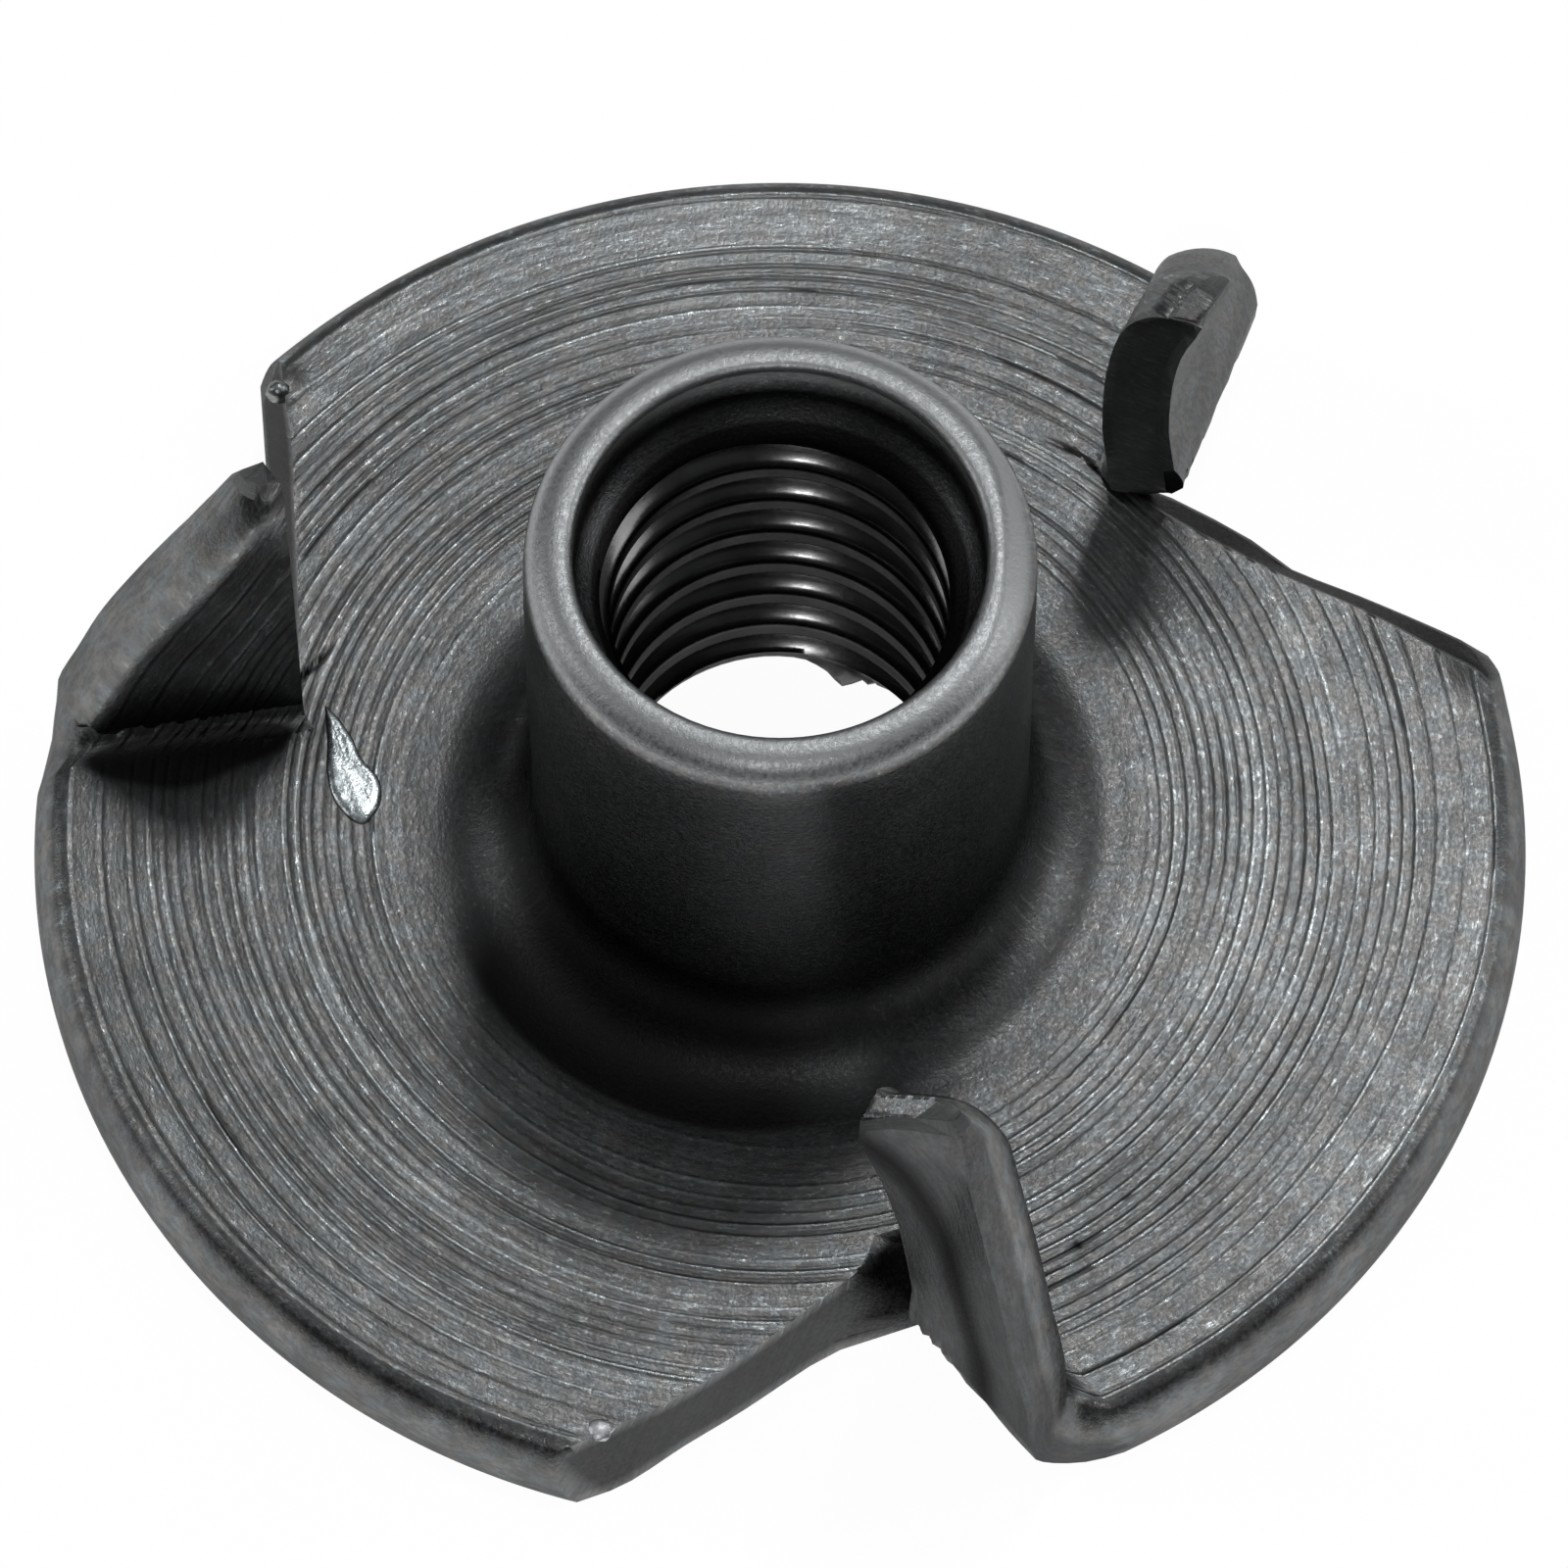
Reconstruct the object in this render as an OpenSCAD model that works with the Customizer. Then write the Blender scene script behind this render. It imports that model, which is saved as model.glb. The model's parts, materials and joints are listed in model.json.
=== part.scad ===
// Three-prong tee nut: a drawn threaded barrel on a round flange,
// with three corners of the flange sheared and bent up as prongs.
// Origin on the bore axis at the flange's underside, +Z up the barrel.

/* [Flange] */
// Diameter of the flange over its rim
flange_d = 23; // [20:0.5:28]
// Thickness of the flange sheet
flange_t = 1.05; // [0.8:0.05:1.3]
// Radius of the rounded rim
rim_r = 1.2; // [0.9:0.1:1.6]
// Height of the centre of the rim's rounding above the underside
rim_z = 0.15; // [0:0.05:0.25]

/* [Barrel] */
// Outside diameter of the barrel
barrel_d = 7.6; // [7.2:0.1:9]
// Overall height, from the underside to the lip
height = 9.5; // [8:0.5:12]
// Radius of the fillet where the barrel meets the flange
fillet_r = 1.45; // [0.8:0.05:1.8]
// Radius of the lip's outer shoulder
lip_r = 0.5; // [0.2:0.05:0.6]

/* [Bore] */
// Nominal diameter of the thread
thread_d = 6; // [5:0.5:6]
// Pitch of the thread
thread_pitch = 1; // [0.8:0.1:1]
// Clearance of the plain mouth over the thread, on the diameter
mouth_clear = 0.1; // [0.05:0.05:0.2]
// Depth of the plain mouth below the lip
mouth_depth = 1.2; // [0.5:0.1:2]
// Radius of the drawn entry at the underside
entry_r = 2; // [1:0.1:2.4]

/* [Prongs] */
// Height of the prongs above the underside
prong_h = 7.1; // [6:0.1:8]
// Distance from the bore axis to the line where a prong starts to bend
prong_root = 2.4; // [2:0.1:3]
// Distance from the bore axis to the slit, along the bend line
slit_offset = 7.1; // [6.4:0.1:7.8]
// Angle at which the flange's side of the slit runs back from square
slit_taper = 6.7; // [0:0.1:9]
// Inside radius of the bend
bend_r = 0.45; // [0.3:0.05:0.8]
// Angle that a prong is bent through
bend_angle = 95; // [88:1:102]
// Radius of the outward curl at a prong's tip
curl_r = 3.5; // [2:0.5:6]
// Length of sheet that curls at a prong's tip
curl_len = 2.2; // [0.6:0.1:3]
// Thickness that a prong is drawn down to
tip_t = 0.85; // [0.6:0.05:1]
// Width left at a prong's blunt tip
tip_w = 0.7; // [0.3:0.05:1]
// How far the rim's edge is drawn in where a prong is bent up
draw_in = 0.15; // [0.05:0.05:0.4]
// Slope of the flange's sheared edge, from square to the sheet
shear_angle = 19; // [0:1:30]
// Slope of a prong's torn edge, from square to the sheet
tear_angle = 24; // [0:1:40]
// Direction that the first prong's outer face looks in
first_angle = 218.8; // [0:0.1:360]

/* [Hidden] */
$fn = 96;

prong_count = 3;
over = 1;                          // overrun of a cutting shape
flange_r = flange_d / 2;
barrel_r = barrel_d / 2;
// an ISO internal thread's crests lie 1.0825 pitches inside its nominal diameter
crest_r = (thread_d - 1.0825 * thread_pitch) / 2;
mouth_r = (thread_d + mouth_clear) / 2;
lead_h = mouth_r - crest_r;        // 45 degree lead-in between mouth and thread
rim_x = flange_r - rim_r;          // radius of the ring that the rim's rounding is centred on

// A prong is a strip of the flange's sheet. A point of it is given by its distance
// from the bend line in the flat flange and its depth below the flange's top face.
bend_mid_r = bend_r + flange_t / 2;
bend_s = bend_mid_r * bend_angle * PI / 180;
bend_z = flange_t + bend_r;
bend_end = [prong_root + bend_mid_r * sin(bend_angle), bend_z - bend_mid_r * cos(bend_angle)];

// a prong's rounded edge lies this far inside the rim that it was sheared from
edge_inset = 0.03;

// radius of a prong's rounded edge at a depth, measured in the flat flange
function rim_at(depth) = rim_x - edge_inset
    + sqrt(pow(rim_r, 2) - pow(flange_t - depth - rim_z, 2));

// a prong's two edges, along the bend line: the sheared one and the one the rim gives
function slit_y(depth) = slit_offset + (depth - flange_t / 2) * tan(tear_angle);
function rim_y(dist, depth) = sqrt(pow(rim_at(depth), 2) - pow(prong_root + dist, 2))
    - draw_in * min(1, dist / bend_s);

// the blunt tip lies where the top face's two edges come within the tip's width
tip_s = sqrt(pow(rim_at(0), 2) - pow(slit_y(0) + tip_w + draw_in, 2)) - prong_root;

// the sheet is drawn out beyond the bend until the tip reaches the stated height
tip_angle = bend_angle - curl_len / curl_r * 180 / PI;
curl_rise = curl_r * (cos(tip_angle) - cos(bend_angle)) + tip_t / 2 * cos(tip_angle);
leg_len = (prong_h - bend_end[1] - curl_rise) / sin(bend_angle);
draw_out = (leg_len + curl_len) / (tip_s - bend_s);

bend_steps = 10;
leg_steps = 8;
curl_steps = 8;
rim_steps = 6;

// square corner less a round one, that is, a fillet of radius r
module fillet(r) {
    difference() {
        square(r);
        translate([r, r]) circle(r);
    }
}

// half section of the flange with its rounded rim
module flange_section() {
    square([rim_x, flange_t]);
    intersection() {
        translate([rim_x, rim_z]) circle(rim_r);
        square([flange_r, flange_t]);
    }
}

// half section of the barrel with its base fillet and rounded lip
module barrel_section() {
    difference() {
        square([barrel_r, height]);
        translate([barrel_r, height]) rotate(180) fillet(lip_r);
    }
    translate([barrel_r, flange_t]) fillet(fillet_r);
}

// half section of the bore: drawn entry, thread crests, lead-in and plain mouth
module bore_section() {
    translate([0, -over]) square([crest_r, height + 2 * over]);
    translate([crest_r, 0]) fillet(entry_r);
    translate([0, height - mouth_depth]) {
        polygon([[0, -lead_h], [crest_r, -lead_h], [mouth_r, 0], [0, 0]]);
        square([mouth_r, mouth_depth + over]);
    }
}

// flange and barrel, turned about the bore axis
module turned_body() {
    rotate_extrude() difference() {
        union() {
            flange_section();
            barrel_section();
        }
        bore_section();
    }
}

// space that a prong leaves in the flange, with the slit's sheared side
module prong_gap() {
    intersection() {
        translate([prong_root, 0, -over]) cube([flange_r, flange_d, flange_t + 2 * over]);
        translate([prong_root, slit_offset, flange_t]) rotate([0, 0, -slit_taper])
            rotate([shear_angle, 0, 0]) translate([-flange_r, 0, -flange_r])
            cube([flange_d, flange_d, flange_d]);
    }
}

// angle that the sheet has turned up through, at a distance from the bend line
function turned(dist) =
    let (past = (dist - bend_s) * draw_out)
    dist < bend_s ? dist / bend_mid_r * 180 / PI
    : bend_angle - max(0, past - leg_len) / curl_r * 180 / PI;

// place of the sheet's middle in side view, at a distance from the bend line
function middle(dist) =
    let (a = turned(dist), past = (dist - bend_s) * draw_out)
    dist < bend_s ? [prong_root + bend_mid_r * sin(a), bend_z - bend_mid_r * cos(a)]
    : bend_end + min(past, leg_len) * [cos(bend_angle), sin(bend_angle)]
      + curl_r * [sin(bend_angle) - sin(a), cos(a) - cos(bend_angle)];

// the sheet's thickness as a share of the flange's, thinning up to the start of the curl
function thinned(dist) = 1 - (1 - tip_t / flange_t) * min(1, dist / curl_s);

// point of a bent-up prong
function bent(dist, depth, y) =
    let (a = turned(dist), m = middle(dist), off = (flange_t / 2 - depth) * thinned(dist))
    [m[0] - off * sin(a), y, m[1] + off * cos(a)];

// outline of a prong across its width: the sheared edge, then the rim's rounding
function prong_section(dist) = concat(
    [bent(dist, 0, slit_y(0)), bent(dist, flange_t, slit_y(flange_t))],
    [for (i = [rim_steps : -1 : 0]) let (depth = flange_t * i / rim_steps)
        bent(dist, depth, rim_y(dist, depth))]);

// distances from the bend line at which a prong's sections are taken
function steps(from, to, n) = [for (i = [1 : n]) from + (to - from) * i / n];
curl_s = bend_s + leg_len / draw_out;
stations = concat([0], steps(0, bend_s, bend_steps), steps(bend_s, curl_s, leg_steps),
                  steps(curl_s, tip_s, curl_steps));

// one prong, bent up from the flange, with a tongue that keys it into the flange
module prong() {
    n = rim_steps + 3;
    last = (len(stations) - 1) * n;
    sides = [for (k = [0 : len(stations) - 2], i = [0 : n - 1])
        let (a = k * n + i, b = k * n + (i + 1) % n) each [[a, b + n, b], [a, a + n, b + n]]];
    ends = [for (i = [1 : n - 2]) each [[0, i, i + 1], [last, last + i + 1, last + i]]];
    polyhedron([for (dist = stations) each prong_section(dist)], concat(sides, ends));
    tongue_y = slit_y(flange_t);
    translate([prong_root - over, tongue_y, flange_t / 4])
        cube([over + bend_r / 2, rim_y(0, 0) - tongue_y - rim_r, flange_t / 2]);
}

module tee_nut() {
    color([0.27, 0.28, 0.29]) {
        difference() {
            turned_body();
            for (i = [0 : prong_count - 1]) rotate(first_angle + i * 360 / prong_count) prong_gap();
        }
        for (i = [0 : prong_count - 1]) rotate(first_angle + i * 360 / prong_count) prong();
    }
}

tee_nut();
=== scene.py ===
"""A steel tee nut with three bent-up prongs, on a pale floor under soft studio light."""
import json
import math

import bmesh
import bpy
import numpy as np
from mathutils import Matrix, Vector


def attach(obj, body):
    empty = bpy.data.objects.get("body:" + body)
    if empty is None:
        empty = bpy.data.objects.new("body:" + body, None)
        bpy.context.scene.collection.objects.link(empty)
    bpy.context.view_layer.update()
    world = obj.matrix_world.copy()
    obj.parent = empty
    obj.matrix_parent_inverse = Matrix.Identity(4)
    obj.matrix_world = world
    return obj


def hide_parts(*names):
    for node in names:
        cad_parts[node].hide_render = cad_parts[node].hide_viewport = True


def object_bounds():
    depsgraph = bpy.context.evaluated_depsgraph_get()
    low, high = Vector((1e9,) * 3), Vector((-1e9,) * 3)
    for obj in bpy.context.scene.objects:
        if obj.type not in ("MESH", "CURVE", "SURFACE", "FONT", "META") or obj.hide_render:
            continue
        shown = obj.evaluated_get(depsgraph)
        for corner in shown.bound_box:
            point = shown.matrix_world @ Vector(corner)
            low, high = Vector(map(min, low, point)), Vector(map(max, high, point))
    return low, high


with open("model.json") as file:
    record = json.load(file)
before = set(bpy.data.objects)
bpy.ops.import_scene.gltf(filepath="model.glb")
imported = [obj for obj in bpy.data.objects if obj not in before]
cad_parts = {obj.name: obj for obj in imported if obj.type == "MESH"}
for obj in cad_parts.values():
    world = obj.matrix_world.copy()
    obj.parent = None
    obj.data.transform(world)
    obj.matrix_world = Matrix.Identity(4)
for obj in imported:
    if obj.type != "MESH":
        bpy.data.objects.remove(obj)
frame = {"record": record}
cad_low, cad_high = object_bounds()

NODE = "tee_nut"
MM = 0.001
TURN = 2 * math.pi

# ------------------------------------------------------------------ sizes, in millimetres
mounts = {m["name"]: m["dims"] for m in frame["record"]["mounts"]}
skin = 0.001                 # how far the rim stays inside the CAD's box
flange_r = round(cad_high[0] / MM, 2) - skin
height = round(cad_high[2] / MM, 2)
minor_r = mounts["thread"]["r_mm"]
mouth_r = mounts["mouth"]["r_mm"]
barrel_r = mounts["barrel"]["r_mm"]
major_r = 3.0                # the thread's roots
pitch = 1.0
sheet_t = 1.05
rim_r = 1.2                  # the rim's rounding, and the height that it is centred on
rim_z = 0.15
fillet_r = 1.45
shoulder_r = 0.5             # rounding outside the barrel's lip
mouth_edge_r = 0.14          # rounding inside it
entry_r = 2.0                # drawn entry at the underside
prong_count = 3
first_angle = 218.8          # degrees; the way that the first prong's outer face looks
prong_root = 2.4             # from the axis to the line where a prong starts to bend
slit_y = 7.1                 # from the axis to the slit, along that line
inner_r = barrel_r + fillet_r
rim_centre_r = flange_r - rim_r
edge_drop = 0.09             # drop and reach of the rim's drawn-over top corner
edge_reach = 0.24
edge_z = sheet_t - edge_drop
top_edge_r = rim_centre_r + math.sqrt(rim_r ** 2 - (edge_z - rim_z) ** 2)

# ------------------------------------------------------------------ seeded noise
CELLS = 64
lattice = np.random.default_rng(7).random((CELLS, CELLS))


def noise(u, v, seed=0):
    """Smooth value noise from -1 to 1, one cell to a unit."""
    u = np.asarray(u, float) + 17.31 * seed
    v = np.asarray(v, float) + 9.73 * seed
    iu = np.floor(u).astype(int)
    iv = np.floor(v).astype(int)
    fu = u - iu
    fv = v - iv
    fu = fu * fu * (3 - 2 * fu)
    fv = fv * fv * (3 - 2 * fv)
    here, after = iu % CELLS, (iu + 1) % CELLS
    under, above = iv % CELLS, (iv + 1) % CELLS
    low = lattice[here, under] * (1 - fu) + lattice[after, under] * fu
    high = lattice[here, above] * (1 - fu) + lattice[after, above] * fu
    return 2 * (low * (1 - fv) + high * fv) - 1


def ring_noise(angle, v, count, seed):
    """Noise with count cells round the axis that meets itself after a full turn."""
    u = (angle / TURN * count) % count
    blend = np.clip(u - (count - 1), 0, 1)
    return noise(u, v, seed) * (1 - blend) + noise(u - count, v, seed) * blend


def ramp(x, start, stop):
    """0 before start, 1 after stop, smooth between."""
    t = np.clip((x - start) / (stop - start), 0, 1)
    return t * t * (3 - 2 * t)


# ------------------------------------------------------------------ the turned face
ring_step = 0.205            # between the rings, up to the radius where they get wider
wide_from = 9.85
wide_step = 0.43
rings_start = 5.4            # radii between which the rings come up, out from the fillet
rings_full = 6.2
edge_fade = 0.12             # width over which they end at the rim
slow_wander = 0.10           # how far a ring wanders from its circle
quick_wander = 0.03
groove_w = 0.026
groove_depth = 0.016
ridge_off = 1.9              # from a groove to its ridge, in groove widths
ridge_rise = 0.015
fine_rise = 0.003            # fine unevenness of the turned face
calm_angle = math.radians(300)  # the way in which the grooves are weakest
smear_w = 0.15               # width beside a slit where the shearing smeared the rings
# the short tears that run on from two of the slits, as points (x, y)
cracks = [
    [(4.1, 6.56), (4.5, 6.36), (4.78, 6.18), (5.02, 5.93)],
    [(-6.9, 2.92), (-7.1, 2.66), (-7.25, 2.5), (-7.42, 2.32)],
]
crack_w = 0.026
crack_depth = 0.1


def crack(x, y):
    """How deep a point lies in one of the cracks, 0 to 1."""
    deep = np.zeros(np.broadcast(x, y).shape)
    for line in cracks:
        for step, ((ax, ay), (bx, by)) in enumerate(zip(line, line[1:])):
            dx, dy = bx - ax, by - ay
            t = np.clip(((x - ax) * dx + (y - ay) * dy) / (dx * dx + dy * dy), 0, 1)
            away = np.hypot(x - ax - t * dx, y - ay - t * dy)
            grown = np.clip(2 * (step + t) / (len(line) - 1), 0, 1)
            deep = np.maximum(deep, grown * np.exp(-(away / crack_w) ** 2))
    return deep


def rings(r, angle, keep=1):
    """Height of the turned rings over the flange's plain face, and their mark: above 0 in a groove,
    below 0 for a painted highlight on the ridge beside it and on a band between grooves."""
    angle = np.asarray(angle, float)
    at = r + slow_wander * ring_noise(angle, r / 3, 5, 1) + quick_wander * ring_noise(angle, r / 0.8, 16, 2)
    phase = np.minimum(at, wide_from) / ring_step + np.maximum(at - wide_from, 0) / wide_step
    index = np.floor(phase)
    part = phase - index
    step = np.where(at < wide_from, ring_step, wide_step)
    centre = 0.5 + 0.2 * ring_noise(angle, index * 0.37, 4, 6)
    calm = 0.12 * np.cos(angle - calm_angle)
    strength = np.clip(0.5 - calm + 0.7 * ring_noise(angle, index * 0.73, 12, 3), 0.05, 1.2)
    crest = np.clip(0.5 + 0.9 * ring_noise(angle, index * 1.19, 9, 8), 0, 1.3)
    # painted highlight: a lighter band between grooves
    band = np.clip(0.9 * ring_noise(angle, index * 0.57, 5, 21), 0, 0.5)
    band = band * np.clip(2.5 - 5 * np.abs(part - 0.5), 0, 1)
    groove = strength * np.exp(-((part - centre) * step / groove_w) ** 2)
    ridge = crest * np.exp(-((part - centre) * step / groove_w - ridge_off) ** 2)
    inside = 1 - ramp(r, top_edge_r - edge_fade, top_edge_r)
    fade = keep * ramp(r, rings_start, rings_full) * inside
    fine = fine_rise * ring_noise(angle, r * 5, 60, 4) * inside
    tear = crack(r * np.cos(angle), r * np.sin(angle))
    drop = edge_drop * np.clip((r - top_edge_r) / edge_reach + 1, 0, 1) ** 2
    h = (ridge_rise * ridge - groove_depth * groove) * fade + fine - drop - crack_depth * tear
    return h, np.maximum(groove * fade, 1.4 * tear) - (0.45 * ridge + 0.5 * band) * fade


# the flange's corners that the shearing pulled up: x, y, rise and reach
corner_lifts = [
    (10.95, 2.65, 0.16, 0.5),
    (-7.85, 7.45, 0.14, 0.4),
]


def lifted(points):
    """Points of the flange with the corners beside two of the slits pulled up a little."""
    for x, y, rise, reach in corner_lifts:
        away = np.hypot(points[..., 0] - x, points[..., 1] - y)
        points[..., 2] += rise * np.exp(-(away / reach) ** 2)
    return points


# ------------------------------------------------------------------ tones
# The third mark of a point: 0 is the turned face, 1 the darker drawn metal, which also carries painted
# shade, below 0 paler metal and painted light. Past those, metal of its own kind comes in between the
# two values of its range, and with it painted shade and a painted highlight.
# black: the darkest sheared face and the thread's crests, and painted shade at prong A's foot and on the
# front prong's outer face
black_and_shade_tone = (1.05, 1.4)
# near white on the bead: a painted highlight
bead_highlight_tone = (-0.9, -1.2)
bore_tone = (2.55, 2.95)
thread_tone = 3.0            # in the thread, and how much less it is on a crest
crest_less = 0.3
mouth_tone = 0.5
lip_tone = -0.65


# ------------------------------------------------------------------ mesh building
class Shell:
    """Collects grids of points in mm. Each point carries three marks and its place on the flat blank
    before the prongs were bent. The first is the rings': above 0 dark in a groove, below 0 a painted
    highlight. The second is 1 on a cut face. The third is the metal's tone, with painted shade and light."""

    def __init__(self):
        self.points = []
        self.marks = []
        self.blanks = []
        self.faces = []
        self.count = 0

    def add(self, points, marks=(0, 0, 0), blank=None):
        points = np.asarray(points, float)
        flat = points.reshape(-1, 3)
        start = self.count
        self.points.append(flat)
        self.marks.append(np.broadcast_to(marks, points.shape).reshape(-1, 3))
        self.blanks.append(flat if blank is None else np.asarray(blank, float).reshape(-1, 3))
        self.count += len(flat)
        return start

    def grid(self, points, marks=(0, 0, 0), blank=None, closed=False):
        points = np.asarray(points, float)
        rows, cols = points.shape[:2]
        start = self.add(points, marks, blank)
        index = start + np.arange(rows * cols).reshape(rows, cols)
        if closed:
            index = np.concatenate([index, index[:, :1]], axis=1)
        corners = [index[:-1, :-1], index[1:, :-1], index[1:, 1:], index[:-1, 1:]]
        self.faces.extend(np.stack([c.ravel() for c in corners], axis=1).tolist())
        return index

    def polygon(self, indices):
        self.faces.append([int(i) for i in indices])


def turned(radius, angle, z):
    """Points at a radius, an angle (radians) and a height."""
    radius, angle, z = np.broadcast_arrays(radius, angle, z)
    return np.stack([radius * np.cos(angle), radius * np.sin(angle), z], axis=-1)


def spread(start, stop, count):
    """Columns from start to stop, closer together near both ends."""
    t = np.linspace(0, 1, count + 1)
    t = t - 0.55 * np.sin(TURN * t) / TURN
    return start + (stop - start) * t


arc_cols = 72                # columns of a flange arc and of a prong
prong_cols = 32
wall_levels = 6              # levels of a cut face, through the sheet
under_step = 8               # top rows to one row of the underside
row_step = 0.031
first_top_r = 7.27           # radius of a slit's inner end, on the top face and on the underside
first_low_r = 7.70
inner_rows = np.linspace(inner_r, first_top_r, int((first_top_r - inner_r) / row_step))
outer_count = under_step * int((top_edge_r - first_top_r) / row_step / under_step)
outer_rows = np.linspace(first_top_r, top_edge_r, outer_count + 1)
under_rows = np.linspace(first_low_r, top_edge_r, outer_count + 1)
rim_turns = np.linspace(math.asin((edge_z - rim_z) / rim_r), math.asin(-rim_z / rim_r), 9)
rim_rows_r = rim_centre_r + rim_r * np.cos(rim_turns)
rim_rows_z = rim_z + rim_r * np.sin(rim_turns)


# ------------------------------------------------------------------ the prongs
bend_turns = np.radians(np.linspace(0, 78, 7))
curve_steps = 24
draw_in = 0.2                # how far a bend draws in the prong's rim edge, and over what length
draw_in_reach = 0.7
settle = 0.9                 # past the bend line, where a prong's slit edge has come to its line
slit_top_off = -0.1          # offset of that line on the top face and on the underside
slit_low_off = 0.15
tear_from = 1.5              # past the bend line, where a slanting tear starts to close
outer_z = 0.5                # below this height the blank becomes a prong's outer face
# painted shade: a darker band across the outer face, near the rim
shade_band_r = 10.45               # dark band across the outer face, near the rim
shade_band_w = 0.4
blunt_from = 0.88            # share of a prong's length where its tip starts to round off
at_corner = 1e-6             # a radius this close to the slit's inner end is at it
slit_rounds = 16             # rounds in which the meeting with the slit is found


def through(points):
    """A smooth curve (Catmull-Rom) through given points: its length so far, points and direction."""
    p = np.asarray(points, float)
    p = np.vstack([2 * p[0] - p[1], p, 2 * p[-1] - p[-2]])
    t = np.linspace(0, 1, curve_steps, endpoint=False)[:, None]
    fine = []
    for a, b, c, d in zip(p, p[1:], p[2:], p[3:]):
        fine.append(0.5 * (2 * b + (c - a) * t + (2 * a - 5 * b + 4 * c - d) * t ** 2
                           + (3 * b - a - 3 * c + d) * t ** 3))
    fine = np.vstack(fine + [p[-2:-1]])
    length = np.concatenate([[0], np.cumsum(np.hypot(*np.diff(fine, axis=0).T))])
    direction = np.gradient(fine, length, axis=0)
    direction /= np.linalg.norm(direction, axis=1)[:, None]
    return length, fine, direction


class Prong:
    """One bent-up prong. Local x runs out from the nut's axis square to the bend line, local y along it.

    blade: the mid-line above the bend, as points (x, z)
    tip_w, tip_t: width and thickness at the tip
    flange_top, flange_low: the flange's two edges along the slit, as points (x, y)
    late: how many wall bays further out the slit's inner end lies
    twist: how far the slit side leans out at the tip
    sway: how much less than that it leans for each mm away from the slit
    fan: how far the rim side has spread half-way up
    painted_outer_shade: how dark the outer face is, as painted shade
    dull: how dark the prong's sheared face is
    plain: how far from the tip the rings are worn off
    black: how dark the flange's sheared face is
    torn: how far the tear slants in under the prong
    """

    def __init__(self, turn, bend_r, blade, tip_w, tip_t, flange_top, flange_low, late=0, twist=0.0,
                 sway=0.0, fan=0.0, painted_outer_shade=0.0, dull=1.0, plain=1.6, black=0.0, torn=0.0):
        self.angle = math.radians((first_angle + turn * 360 / prong_count) % 360)
        bend = [(prong_root + bend_r * math.sin(t), sheet_t / 2 + bend_r * (1 - math.cos(t)))
                for t in bend_turns]
        self.length, self.line, self.direction = through(bend + blade)
        self.direction[0] = (1, 0)
        self.bend_len = bend_r * bend_turns[-1]
        self.tip_t = tip_t
        self.twist = twist
        self.sway = sway
        self.fan = fan
        self.painted_outer_shade = painted_outer_shade
        self.dull = dull
        self.plain = plain
        self.black = black
        self.torn = torn
        self.first = late * under_step
        self.corner_r = (outer_rows[self.first], under_rows[self.first])
        self.corner_y = [math.sqrt(r ** 2 - prong_root ** 2) for r in self.corner_r]
        self.flange_edges = [through([(prong_root, y)] + edge)[1]
                             for y, edge in zip(self.corner_y, (flange_top, flange_low))]
        self.tip_x = math.sqrt(flange_r ** 2 - (slit_y + tip_w) ** 2)
        self.tip_dist = self.tip_x - prong_root
        self.tip_r = math.hypot(self.tip_x, slit_y)

    def slit(self, x, share, flange_side):
        """Local y of the slit at x, from the top face (share 0) to the underside (share 1)."""
        if flange_side:
            ends = [float(np.interp(x, edge[:, 0], edge[:, 1])) for edge in self.flange_edges]
        else:
            past = float(ramp(x, prong_root, prong_root + settle))
            tear = self.torn * (1 - float(ramp(x, prong_root + tear_from, self.tip_x)))
            offs = (slit_top_off, slit_low_off + tear)
            ends = [y + (slit_y + off - y) * past for y, off in zip(self.corner_y, offs)]
        return ends[0] + (ends[1] - ends[0]) * share

    def corner(self, share):
        """Radius of the slit's inner end at a depth through the sheet."""
        return self.corner_r[0] + (self.corner_r[1] - self.corner_r[0]) * share

    def ring_keep(self, r, away):
        """How much of the rings is left at a distance from the slit, whose shearing smeared them."""
        near = 1 - np.clip(np.abs(away) / smear_w, 0, 1)
        return 1 - near * ramp(r, self.corner_r[0], self.corner_r[0] + smear_w)

    def painted_outer_shade_at(self, r, z):
        """Painted shade on the prong's outer face at a place on the blank: darkest in a band near the rim."""
        if z > outer_z:
            return 0.0
        return self.painted_outer_shade * (0.8 + 0.35 * math.exp(-((r - shade_band_r) / shade_band_w) ** 2))

    def bend_turn(self, r, share):
        """Local angle at which the circle of radius r meets the bend line."""
        return math.acos(prong_root / max(r, self.corner(share)))

    def slit_turn(self, r, share, flange_side):
        """Local angle at which the circle of radius r meets the slit or, on the prong, its tip."""
        corner = self.corner(share)
        if r - corner < at_corner:
            return math.acos(prong_root / corner)
        angle = math.acos(prong_root / r)
        for _ in range(slit_rounds):
            y = self.slit(r * math.cos(angle), share, flange_side)
            angle = 0.5 * (angle + math.asin(min(1, y / r)))
        if not flange_side:
            angle = max(angle, math.acos(min(1, self.tip_x / r)))
        return angle

    def seat(self, x, y, z):
        """Turns local points to the prong's place round the nut's axis."""
        c, n = math.cos(self.angle), math.sin(self.angle)
        x, y, z = np.broadcast_arrays(x, y, z)
        return np.stack([x * c - y * n, x * n + y * c, z], axis=-1)

    def thinned(self, share):
        """Thickness as a share of the sheet's: drawn thinner up to half-way, and blunt at the tip."""
        blunt = np.clip((share - blunt_from) / (1 - blunt_from), 0, 1)
        drawn = 1 - (1 - self.tip_t / sheet_t) * np.clip(share * 2, 0, 1)
        return drawn * (0.4 + 0.6 * np.sqrt(1 - 0.98 * blunt ** 2))

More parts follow.
